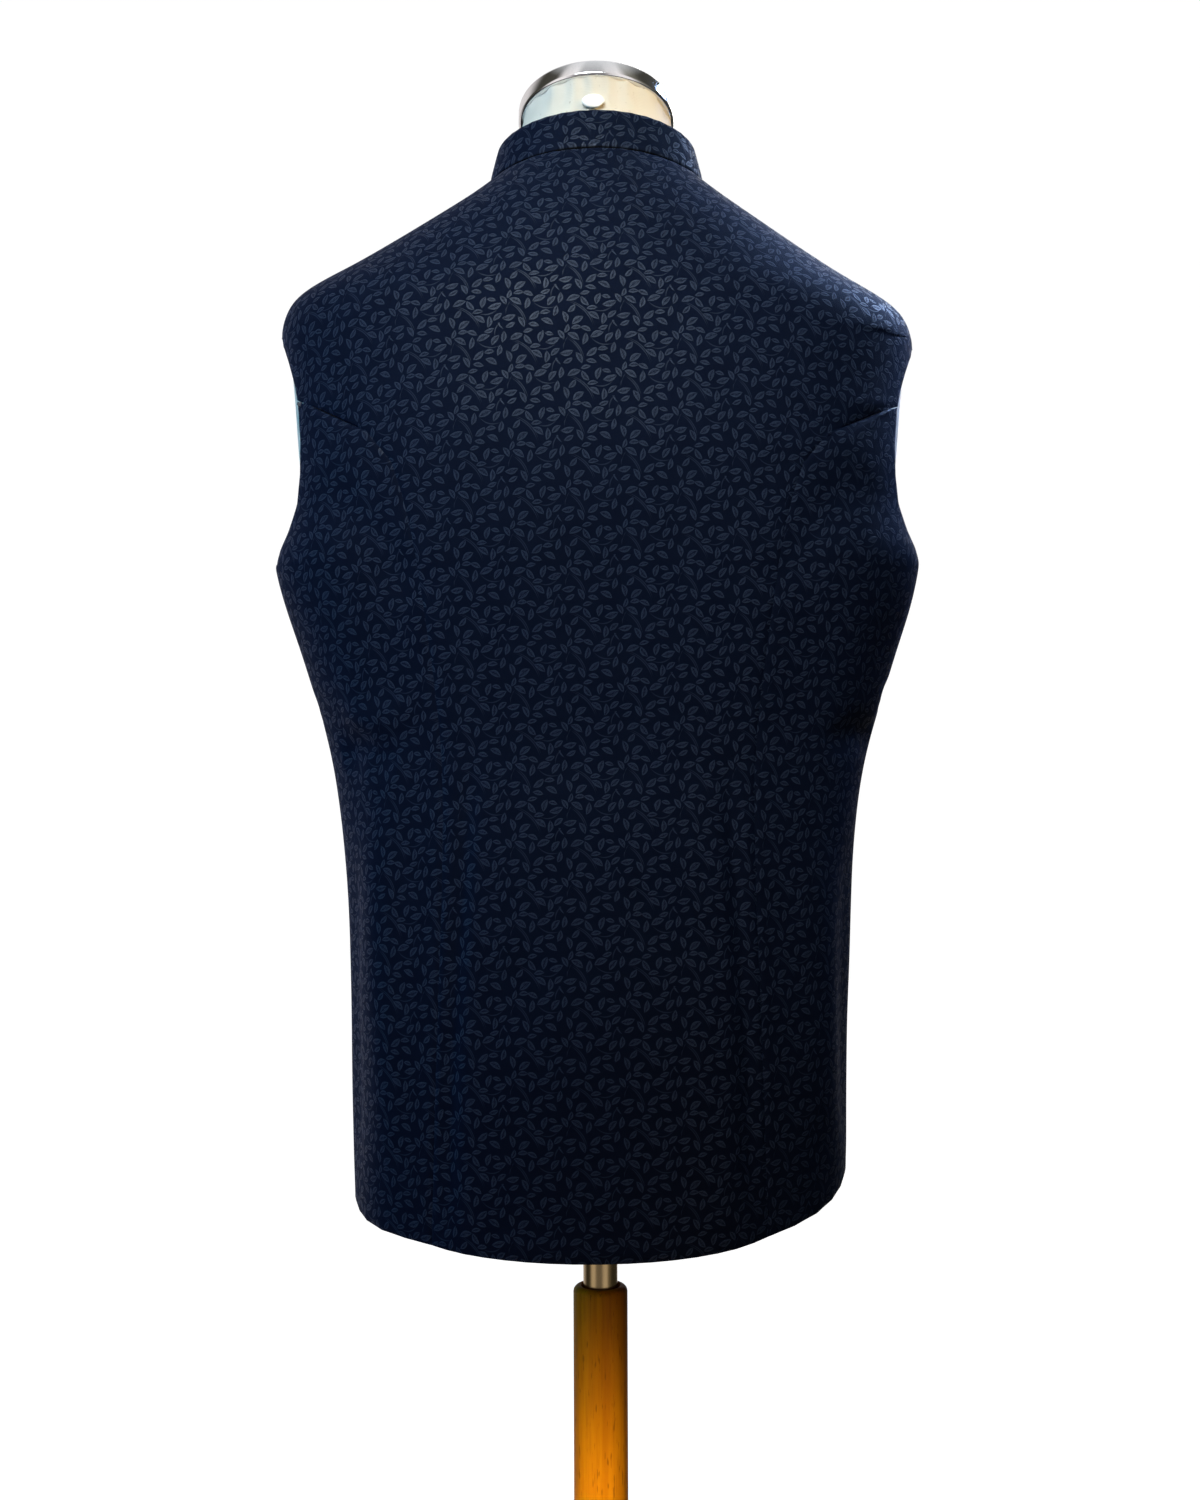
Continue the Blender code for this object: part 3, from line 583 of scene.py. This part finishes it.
# ---------------------------------------------------------------- the creases
# A soft trough (depth below zero) or ridge that runs through (turn, height) points.
Crease = namedtuple("Crease", "name run half_width depth")
CREASES = [
    Crease("left_channel_low",    [(40.5, 0.735), (39.0, 0.90), (38.0, 1.06)], 0.0078, -0.0032),
    Crease("right_channel_low",   [(-40.5, 0.75), (-39.0, 0.90), (-38.0, 1.06)], 0.0078, -0.0034),
    Crease("left_waist_dent",     [(58, 1.045), (66, 1.058), (76, 1.052)], 0.0120, -0.0046),
    Crease("left_waist_fold",     [(50, 1.090), (60, 1.078), (72, 1.082)], 0.0100, 0.0023),
    Crease("right_waist_dent",    [(-62, 1.060), (-72, 1.068), (-84, 1.064)], 0.0110, -0.0034),
    Crease("left_side_band",      [(57, 0.77), (60, 0.90), (62, 1.02)], 0.0170, 0.0030),
    Crease("left_side_trough",    [(74, 0.76), (75, 0.88), (73, 1.00)], 0.0150, -0.0030),
    Crease("right_side_band",     [(-60, 0.79), (-62, 0.90), (-60, 1.00)], 0.0180, 0.0023),
    Crease("right_side_trough",   [(-76, 0.78), (-74, 0.90), (-76, 1.00)], 0.0160, -0.0027),
    Crease("left_blade_hollow",   [(47, 1.150), (57, 1.200), (68, 1.245)], 0.0150, -0.0030),
    Crease("right_blade_hollow",  [(-45, 1.160), (-55, 1.205), (-66, 1.245)], 0.0160, -0.0027),
    Crease("left_underarm_kink",  [(84, 1.082), (92, 1.088), (100, 1.082)], 0.0070, -0.0034),
    Crease("right_underarm_kink", [(-82, 1.092), (-92, 1.098), (-101, 1.090)], 0.0070, -0.0034),
    Crease("seat_break_left",     [(12, 0.93), (24, 0.90), (34, 0.86)], 0.0200, -0.0013),
    Crease("seat_break_right",    [(-10, 0.98), (-22, 0.94), (-33, 0.91)], 0.0200, -0.0015),
    Crease("waist_break",         [(-20, 1.052), (0, 1.060), (22, 1.050)], 0.0240, -0.0015),
    Crease("front_left_drag",     [(118, 1.190), (134, 1.120), (150, 1.070)], 0.0150, -0.0030),
    Crease("front_right_drag",    [(-116, 1.185), (-132, 1.125), (-148, 1.062)], 0.0160, -0.0034),
    Crease("front_left_waist",    [(112, 1.052), (128, 1.045), (146, 1.050)], 0.0150, -0.0034),
    Crease("front_right_waist",   [(-114, 1.058), (-130, 1.048), (-148, 1.054)], 0.0140, -0.0030),
    Crease("front_left_hang",     [(128, 0.76), (130, 0.88), (127, 0.99)], 0.0190, 0.0030),
    Crease("front_right_hang",    [(-132, 0.76), (-129, 0.87), (-131, 0.98)], 0.0180, 0.0029),
    Crease("front_left_hang_in",  [(147, 0.75), (146, 0.85), (149, 0.95)], 0.0160, -0.0023),
    Crease("front_right_hang_in", [(-149, 0.75), (-147, 0.86), (-150, 0.96)], 0.0170, -0.0025),
    Crease("chest_left_break",    [(122, 1.300), (136, 1.270), (150, 1.215)], 0.0170, -0.0023),
    Crease("chest_right_break",   [(-120, 1.295), (-134, 1.262), (-150, 1.205)], 0.0180, -0.0025),
]
CHART_RADIUS = 0.165
SWELL = 0.45 * MM
SEAM_CLOSING = 0.36 * MM
# How far up from the collar's lower edge the painted seam shade reaches.
COLLAR_SEAM_SHADE_REACH = 4.0 * MM


def crease_height(points):
    """The height of all creases and of a faint unevenness at each point."""
    turn = np.arctan2(points[:, 0], points[:, 1])
    chart = np.stack([turn * CHART_RADIUS, points[:, 2]], axis=1)
    total = SWELL * np.sin(3 * turn + 17 * points[:, 2]) * np.sin(21 * points[:, 2] + 2 * turn + 0.8)
    total += 0.5 * SWELL * np.sin(7 * turn - 29 * points[:, 2] + 1.7)
    for crease in CREASES:
        run = np.array([(math.radians(degrees) * CHART_RADIUS, height) for degrees, height in crease.run])
        lengths = np.linalg.norm(np.diff(run, axis=0), axis=1)
        nearest = np.full(len(points), 9.0)
        share = np.zeros(len(points))
        before = 0.0
        for start, end, length in zip(run, run[1:], lengths):
            along = np.clip((chart - start) @ (end - start) / length ** 2, 0.0, 1.0)
            away = np.linalg.norm(chart - start - along[:, None] * (end - start), axis=1)
            closer = away < nearest
            nearest = np.where(closer, away, nearest)
            share = np.where(closer, (before + along * length) / lengths.sum(), share)
            before += length
        ends = np.clip(np.minimum(share, 1 - share) / 0.30, 0.0, 1.0)
        total += crease.depth * np.exp(-(nearest / crease.half_width) ** 2) * ends * (2 - ends)
    return total


def open_edge(piece):
    """The places along the piece's open edge."""
    work = bmesh.new()
    work.from_mesh(piece.data)
    rim = [vertex.co.copy() for vertex in work.verts if vertex.is_boundary]
    work.free()
    return rim


def shape_cloth(piece, cut):
    """Adds the creases, and rolls the cloth in along its sewn and turned edges."""
    points, normals = points_of(piece.data), normals_of(piece.data)
    near = nearness(piece, open_edge(piece), cut.reach)
    height = -cut.roll * near ** 2
    if cut.creased:
        height = height + crease_height(points) * (1 - 0.5 * near)
    set_points(piece.data, points + normals * height[:, None])


def thicken(piece, wall, outside, inside):
    """Gives the cloth its wall, inwards, with soft edges."""
    piece.data.materials.append(outside)
    piece.data.materials.append(inside)
    apply_modifier(piece, "SOLIDIFY", thickness=wall, offset=-1.0, use_even_offset=False,
                   material_offset=1, material_offset_rim=0)
    apply_modifier(piece, "BEVEL", width=0.45 * MM, segments=2, limit_method="ANGLE",
                   angle_limit=math.radians(60), use_clamp_overlap=True)
    only(piece)
    bpy.ops.object.shade_smooth_by_angle(angle=math.radians(60))


# ---------------------------------------------------------------- the cut pieces
# held: how it stays up; anchor and at: a point of it and its place on the cloth; roll and reach:
# how deep and how far in its edges roll; drop: how far its lower edge is let down.
Cut = namedtuple("Cut", "node held anchor at roll reach wall drop creased",
                 defaults=(0.9 * MM, 4.5 * MM, CLOTH_WALL, SEAM_CLOSING, True))
CUT_LEVELS = 3
CUTS = [
    Cut("back", "hung", (0.0, 0.125, 1.15), (0.0040, 1.150)),
    Cut("side_back_left", "hung", (0.15, 0.08, 1.05), (0.1620, 1.058)),
    Cut("side_back_right", "hung", (-0.15, 0.08, 1.05), (-0.1550, 1.034)),
    Cut("front_left", "hung", (0.0175, -0.13, 1.10), (0.0110, 1.100)),
    Cut("front_right", "hung", (-0.0175, -0.13, 1.10), (-0.0300, 1.096)),
    Cut("collar", "stretched", (0.0, 0.055, 1.485), (0.0060, 1.487),
        roll=1.3 * MM, reach=3.4 * MM, wall=COLLAR_WALL, drop=3.2 * MM, creased=False),
]


def make_cloth(cloth, satin):
    for cut in CUTS:
        piece = joined_copy(cut.node, cut.node + "_cloth")
        keep_outer_side(piece)
        pair_triangles(piece)
        width, length, area = lay_flat(piece, cut.anchor, cut.at)
        hold_edge(piece)
        round_through(piece, CUT_LEVELS)
        lower = close_seams(piece, cut.drop)
        if cut.node == "collar":
            # Painted shade for the shadow line under the collar's seam.
            paint_seam_shade(piece, lower, COLLAR_SEAM_SHADE_REACH)
        shape_cloth(piece, cut)
        thicken(piece, cut.wall, cloth, satin)
        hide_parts(cut.node)
        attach(piece, "figure")


# ---------------------------------------------------------------- the dress form
GATHER = 1.0 * MM


def make_form(jersey):
    """The stretch cover, gathered round the neck under its cap."""
    cover = joined_copy("form", "form_cover")
    pair_triangles(cover)
    round_through(cover, 2)
    points, normals = points_of(cover.data), normals_of(cover.data)
    turn = np.arctan2(points[:, 0], points[:, 1])
    low, high = 1.470, 1.512
    rise = np.clip((points[:, 2] - low) / (high - low), 0.0, 1.0)
    sideways = 0.35 + 0.65 * np.abs(np.sin(turn))
    lean = 6 * rise * np.sin(turn) + 1.5 * np.sin(turn * 3)
    gather = np.sin(turn * 13 + lean) * sideways * rise * GATHER
    outer = np.hypot(points[:, 0], points[:, 1]) > 0.03
    set_points(cover.data, points + normals * (gather * outer - 0.3 * MM * rise * outer)[:, None])
    cover.data.materials.append(jersey)
    only(cover)
    bpy.ops.object.shade_smooth_by_angle(angle=math.radians(50))
    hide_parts("form")
    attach(cover, "figure")


# ---------------------------------------------------------------- turned pieces
def frame_of(node, towards):
    """Where a disc or rod of the CAD is: a matrix with Z along its axis, and its sizes."""
    points = points_of(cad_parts[node].data)
    middle = points.mean(axis=0)
    _, _, axes = np.linalg.svd(points - middle, full_matrices=False)
    axis = Vector(axes[2])
    if axis.dot(Vector(towards)) < 0:
        axis = -axis
    side = Vector((1.0, 0.0, 0.0))
    side = (side - axis * side.dot(axis)).normalized()
    turned = Matrix((side, axis.cross(side), axis)).transposed()
    local = (points - middle) @ np.array(turned)
    centre = (local.max(axis=0) + local.min(axis=0)) / 2
    origin = Vector(middle) + turned @ Vector(centre)
    return Matrix.Translation(origin) @ turned.to_4x4(), local.max(axis=0) - local.min(axis=0)


def turned_piece(name, profile, steps=64):
    """A solid of revolution about Z, drawn by extruding its profile from a point and spinning."""
    bpy.ops.object.select_all(action="DESELECT")
    bpy.ops.mesh.primitive_plane_add(size=0.01)
    made = bpy.context.object
    made.name = made.data.name = name
    bpy.ops.object.mode_set(mode="EDIT")
    bpy.ops.mesh.merge(type="CENTER")
    radius, height = profile[0]
    bpy.ops.transform.translate(value=(radius, 0.0, height))
    for (r0, h0), (r1, h1) in zip(profile, profile[1:]):
        bpy.ops.mesh.extrude_region_move(TRANSFORM_OT_translate={"value": (r1 - r0, 0.0, h1 - h0)})
    bpy.ops.mesh.select_all(action="SELECT")
    bpy.ops.mesh.spin(steps=steps, angle=2 * math.pi, center=(0, 0, 0), axis=(0, 0, 1))
    bpy.ops.mesh.select_all(action="SELECT")
    bpy.ops.mesh.remove_doubles(threshold=0.01 * MM)
    bpy.ops.mesh.normals_make_consistent(inside=False)
    bpy.ops.object.mode_set(mode="OBJECT")
    return made


def finish_piece(piece, place, material, body, node, smooth=40):
    """Puts a piece in its place, gives it its material, hides the CAD node it stands for and hangs it on
    its body.
    """
    piece.data.transform(place)
    piece.data.materials.clear()
    piece.data.materials.append(material)
    only(piece)
    bpy.ops.object.shade_smooth_by_angle(angle=math.radians(smooth))
    if node:
        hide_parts(node)
    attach(piece, body)
    return piece


def bent(radius, height, bend, start, end, steps=5):
    """Profile points round a corner, from one angle to another."""
    angles = [math.radians(start + (end - start) * k / steps) for k in range(steps + 1)]
    return [(radius + bend * math.cos(a), height + bend * math.sin(a)) for a in angles]


def make_neck(chrome, white):
    place, size = frame_of("neck_cap", (0, 0, 1))
    radius, half = size[0] / 2, size[2] / 2
    lip = 1.8 * MM
    profile = [(0, -half), (radius * 0.86, -half)]
    profile += bent(radius - lip, -half + lip, lip, -90, 0)
    profile += bent(radius - lip, half - 1.8 * MM - lip, lip, 0, 78)
    profile += [(radius * 0.80, half - 1.0 * MM), (radius * 0.55, half - 0.45 * MM),
                (radius * 0.25, half - 0.1 * MM), (0, half)]
    plate = turned_piece("neck_cap_plate", profile, 96)
    finish_piece(plate, place, chrome, "figure", "neck_cap")

    place, size = frame_of("nape_stud", (0, 1, 0))
    radius, half = size[1] / 2, size[2] / 2
    profile = [(0, -half), (radius * 0.9, -half)] + bent(radius - half * 0.7, 0.0, half * 0.7, -60, 70)
    profile += [(radius * 0.45, half * 0.96), (0, half)]
    stud = turned_piece("nape_stud_oval", profile, 32)
    stud.data.transform(Matrix.Diagonal((size[0] / size[1], 1.0, 1.0, 1.0)))
    finish_piece(stud, place, white, "figure", "nape_stud", 60)


def make_stand(steel, wood):
    low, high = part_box("tube")
    radius = (high.x - low.x) / 2
    hole = radius - 1.5 * MM
    profile = [(hole, low.z + 0.5 * MM), (hole + 0.5 * MM, low.z), (radius - 0.4 * MM, low.z),
               (radius, low.z + 0.4 * MM), (radius, high.z - 0.4 * MM), (radius - 0.4 * MM, high.z),
               (hole + 0.4 * MM, high.z), (hole, high.z - 0.4 * MM), (hole, low.z + 0.5 * MM)]
    tube = turned_piece("steel_tube", profile, 64)
    finish_piece(tube, Matrix.Identity(4), steel, "pole", "tube")

    low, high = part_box("post")
    radius = (high.x - low.x) / 2
    bore, floor = 13.9 * MM, 0.335
    shoulder = 4.5 * MM
    profile = [(0, low.z), (radius - 1 * MM, low.z), (radius, low.z + 1 * MM)]
    profile += bent(radius - shoulder, high.z - shoulder, shoulder, 0, 90, 8)
    profile += [(bore + 0.6 * MM, high.z), (bore + 0.15 * MM, high.z - 0.25 * MM),
                (bore, high.z - 0.8 * MM), (bore, floor), (0, floor)]
    post = turned_piece("turned_post", profile, 72)
    finish_piece(post, Matrix.Identity(4), wood, "stand", "post")

    low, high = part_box("base")
    radius, edge = (high.x - low.x) / 2, 8 * MM
    profile = [(0, low.z), (radius - 3 * MM, low.z), (radius, low.z + 3 * MM)]
    profile += bent(radius - edge, high.z - edge, edge, 0, 90, 8)
    groove = high.z - 0.6 * MM
    profile += [(radius * 0.93, high.z), (radius * 0.92, groove), (radius * 0.905, groove),
                (radius * 0.895, high.z), (radius * 0.3, high.z), (0, high.z)]
    base = turned_piece("turned_base", profile, 128)
    finish_piece(base, Matrix.Identity(4), wood, "stand", "base")


# ---------------------------------------------------------------- the buttons
DISH = 0.36
HOLE_PLACE = 1.45 * MM


def button_blank(radius, half):
    """A button with a raised rim, a dished middle and four holes."""
    rim = 1.0 * MM
    profile = [(0, -half), (radius * 0.80, -half)] + bent(radius - rim, 0.0, half, -75, 90, 7)
    profile += [(radius * 0.70, half * 0.86), (radius * 0.62, half * 0.45),
                (radius * 0.50, half * DISH), (0, half * DISH)]
    made = turned_piece("button_blank", profile, 40)
    for x in (-1, 1):
        for y in (-1, 1):
            bpy.ops.object.select_all(action="DESELECT")
            bpy.ops.mesh.primitive_cylinder_add(vertices=14, radius=0.75 * MM, depth=8 * half,
                                                location=(x * HOLE_PLACE, y * HOLE_PLACE, 0))
            drill = bpy.context.object
            apply_modifier(made, "BOOLEAN", operation="DIFFERENCE", object=drill, solver="EXACT")
            bpy.data.objects.remove(drill, do_unlink=True)
    return made


def stitch(name, points, thickness, sides=3):
    """A thread along a few points, as a mesh."""
    line = bpy.data.curves.new(name, "CURVE")
    line.dimensions = "3D"
    line.bevel_depth = thickness
    line.bevel_resolution = sides
    line.use_fill_caps = True
    line.resolution_u = 4
    spline = line.splines.new("BEZIER")
    spline.bezier_points.add(len(points) - 1)
    for knot, point in zip(spline.bezier_points, points):
        knot.co = point
        knot.handle_left_type = knot.handle_right_type = "AUTO"
    made = bpy.data.objects.new(name, line)
    bpy.context.scene.collection.objects.link(made)
    only(made)
    bpy.ops.object.convert(target="MESH")
    return bpy.context.object


def make_buttons(stock, thread):
    _, size = frame_of("button_1", (0, -1, 0))
    radius, half = size[0] / 2, size[2] / 2
    blank = button_blank(radius, half)
    top, under = half * DISH + 0.25 * MM, -half - 1.0 * MM
    crossing = []
    for y in (-HOLE_PLACE, HOLE_PLACE):
        rise = [(-HOLE_PLACE, y, under), (-HOLE_PLACE, y, half * 0.1), (-0.6 * HOLE_PLACE, 0.6 * y, top)]
        fall = [(-x, side, height) for x, side, height in reversed(rise)]
        crossing.append(stitch("strand", rise + fall, 0.30 * MM))
    for number in range(1, 6):
        node = "button_%d" % number
        place, _ = frame_of(node, (0, -1, 0))
        made = blank.copy()
        made.data = blank.data.copy()
        made.name = made.data.name = node + "_turned"
        bpy.context.scene.collection.objects.link(made)
        finish_piece(made, place, stock, "figure", node, 35)
        only(crossing[0])
        crossing[1].select_set(True)
        bpy.ops.object.duplicate()
        bpy.ops.object.join()
        sewn = bpy.context.object
        sewn.name = sewn.data.name = node + "_thread"
        finish_piece(sewn, place, thread, "figure", None, 60)
    for spare in [blank] + crossing:
        bpy.data.objects.remove(spare, do_unlink=True)


# ---------------------------------------------------------------- floor and light
def make_studio():
    """A pale floor that runs up into a white surround, seen but not lighting the work."""
    bpy.ops.object.select_all(action="DESELECT")
    bpy.ops.mesh.primitive_uv_sphere_add(segments=64, ring_count=32, radius=7.0, location=(0, 0, 0))
    surround = bpy.context.object
    surround.name = "studio_surround"
    bpy.ops.object.mode_set(mode="EDIT")
    bpy.ops.mesh.select_all(action="SELECT")
    bpy.ops.mesh.bisect(plane_co=(0, 0, -0.2), plane_no=(0, 0, 1), clear_inner=True, use_fill=False)
    bpy.ops.mesh.select_all(action="SELECT")
    bpy.ops.mesh.flip_normals()
    bpy.ops.object.mode_set(mode="OBJECT")
    bpy.ops.object.shade_smooth()
    bpy.ops.object.select_all(action="DESELECT")
    bpy.ops.mesh.primitive_circle_add(vertices=96, radius=7.3, fill_type="NGON", location=(0, 0, 0))
    floor = bpy.context.object
    floor.name = "studio_floor"
    white = Finish("studio_white", roughness=0.9, emission_strength=1.0)
    white.done(base_color=(0.0, 0.0, 0.0), emission_color=(1.0, 1.0, 1.0))
    pale = Finish("studio_pale", roughness=0.85, emission_strength=1.0)
    grain = pale.noise(pale.coordinates(), 3.0, 2.0)
    pale.done(base_color=pale.mix(grain, (0.60, 0.60, 0.60), (0.64, 0.64, 0.64)),
              emission_color=(1.0, 1.0, 1.0))
    for made, finish in ((surround, white), (floor, pale)):
        made.data.materials.append(finish.material)
        made.visible_diffuse = made.visible_glossy = made.visible_transmission = False
        made.visible_shadow = False


Lamp = namedtuple("Lamp", "name place aim width height spread power colour")
LAMPS = [
    Lamp("key_over_back", (0.17, 0.92, 2.02), (0.00, 0.12, 1.37), 0.60, 0.40, 51, 2.0, (0.86, 0.96, 1.00)),
    Lamp("cool_left", (1.35, 0.32, 1.00), (0.16, 0.04, 0.92), 0.40, 1.00, 110, 3.8, (0.08, 0.55, 1.00)),
    Lamp("blue_right", (-0.62, -0.32, 1.80), (-0.19, 0.0, 1.375), 0.22, 0.22, 34, 0.62, (0.42, 0.60, 1.00)),
    Lamp("warm_neck", (-0.65, 0.50, 1.72), (-0.04, 0.03, 1.50), 0.12, 0.12, 20, 0.080, (1.00, 0.68, 0.28)),
    Lamp("front_soft", (-0.70, -1.60, 2.00), (0.0, -0.10, 1.15), 1.20, 1.00, 150, 10.0, (1.00, 0.98, 0.95)),
    Lamp("low_post", (0.18, 1.10, 0.40), (0.0, 0.0, 0.46), 0.15, 0.15, 20, 0.50, (1.00, 0.96, 0.60)),
    Lamp("low_base", (0.30, 1.20, 0.75), (0.0, 0.0, 0.06), 0.30, 0.15, 24, 1.20, (1.00, 0.96, 0.66)),
]
NOT_MIRRORED = ("cool_left", "warm_neck", "low_post", "low_base")
# What shiny pieces mirror: bright windows and dark walls round the compass, and a pale ceiling.
WALLS = ((0.04, 0.95), (0.11, 0.07), (0.26, 0.06), (0.33, 0.22), (0.39, 1.05), (0.44, 0.95), (0.48, 0.32),
         (0.57, 0.34), (0.61, 1.10), (0.66, 1.00), (0.71, 0.07), (0.79, 0.06), (0.87, 0.80))
SKY = (0.85, 0.87, 0.90, 1.0)


def set_light():
    for lamp in LAMPS:
        panel = bpy.data.lights.new(lamp.name, "AREA")
        panel.shape = "RECTANGLE"
        panel.size, panel.size_y, panel.spread = lamp.width, lamp.height, math.radians(lamp.spread)
        panel.energy, panel.color = lamp.power, lamp.colour
        made = bpy.data.objects.new(lamp.name, panel)
        bpy.context.scene.collection.objects.link(made)
        aim = (Vector(lamp.aim) - Vector(lamp.place)).to_track_quat("-Z", "Y")
        made.matrix_world = Matrix.Translation(lamp.place) @ aim.to_matrix().to_4x4()
        made.visible_camera = False
        made.visible_glossy = lamp.name not in NOT_MIRRORED


def set_air():
    """The surroundings that gloss mirrors; they light nothing else."""
    world = bpy.data.worlds.new("studio_air")
    world.use_nodes = True
    bpy.context.scene.world = world
    tree = world.node_tree
    way = tree.nodes.new("ShaderNodeTexCoord")
    split = tree.nodes.new("ShaderNodeSeparateXYZ")
    tree.links.new(way.outputs["Generated"], split.inputs[0])
    compass = tree.nodes.new("ShaderNodeMath")
    compass.operation = "ARCTAN2"
    tree.links.new(split.outputs[0], compass.inputs[0])
    tree.links.new(split.outputs[1], compass.inputs[1])
    share = tree.nodes.new("ShaderNodeMapRange")
    tree.links.new(compass.outputs[0], share.inputs[0])
    share.inputs[1].default_value, share.inputs[2].default_value = -math.pi, math.pi
    walls = tree.nodes.new("ShaderNodeValToRGB")
    tree.links.new(share.outputs[0], walls.inputs[0])
    ramp = walls.color_ramp
    ramp.interpolation = "EASE"
    while len(ramp.elements) < len(WALLS):
        ramp.elements.new(0.5)
    for element, (position, level) in zip(ramp.elements, WALLS):
        element.position = position
        element.color = (level, level * 0.95, level * (0.78 if level < 0.3 else 0.95), 1.0)
    overhead = tree.nodes.new("ShaderNodeMapRange")
    tree.links.new(split.outputs[2], overhead.inputs[0])
    overhead.inputs[1].default_value, overhead.inputs[2].default_value = 0.72, 0.98
    blend = tree.nodes.new("ShaderNodeMix")
    blend.data_type = "RGBA"
    tree.links.new(overhead.outputs[0], blend.inputs[0])
    tree.links.new(walls.outputs[0], blend.inputs[6])
    blend.inputs[7].default_value = SKY
    tree.links.new(blend.outputs[2], tree.nodes["Background"].inputs["Color"])
    world.cycles_visibility.diffuse = False


# ---------------------------------------------------------------- everything in order
bpy.ops.object.select_all(action="DESELECT")
set_camera()
make_cloth(figured_cloth(), lining())
make_form(cream_jersey())
make_neck(polished("chrome_plate", (0.80, 0.80, 0.80), 0.06, 0.10), white_moulding())
make_stand(polished("satin_steel", (0.36, 0.26, 0.13), 0.16, 0.16), honey_lacquer())
make_buttons(horn_button(), sewing_thread())
make_studio()
set_light()
set_air()
bpy.context.scene.view_settings.view_transform = "Standard"
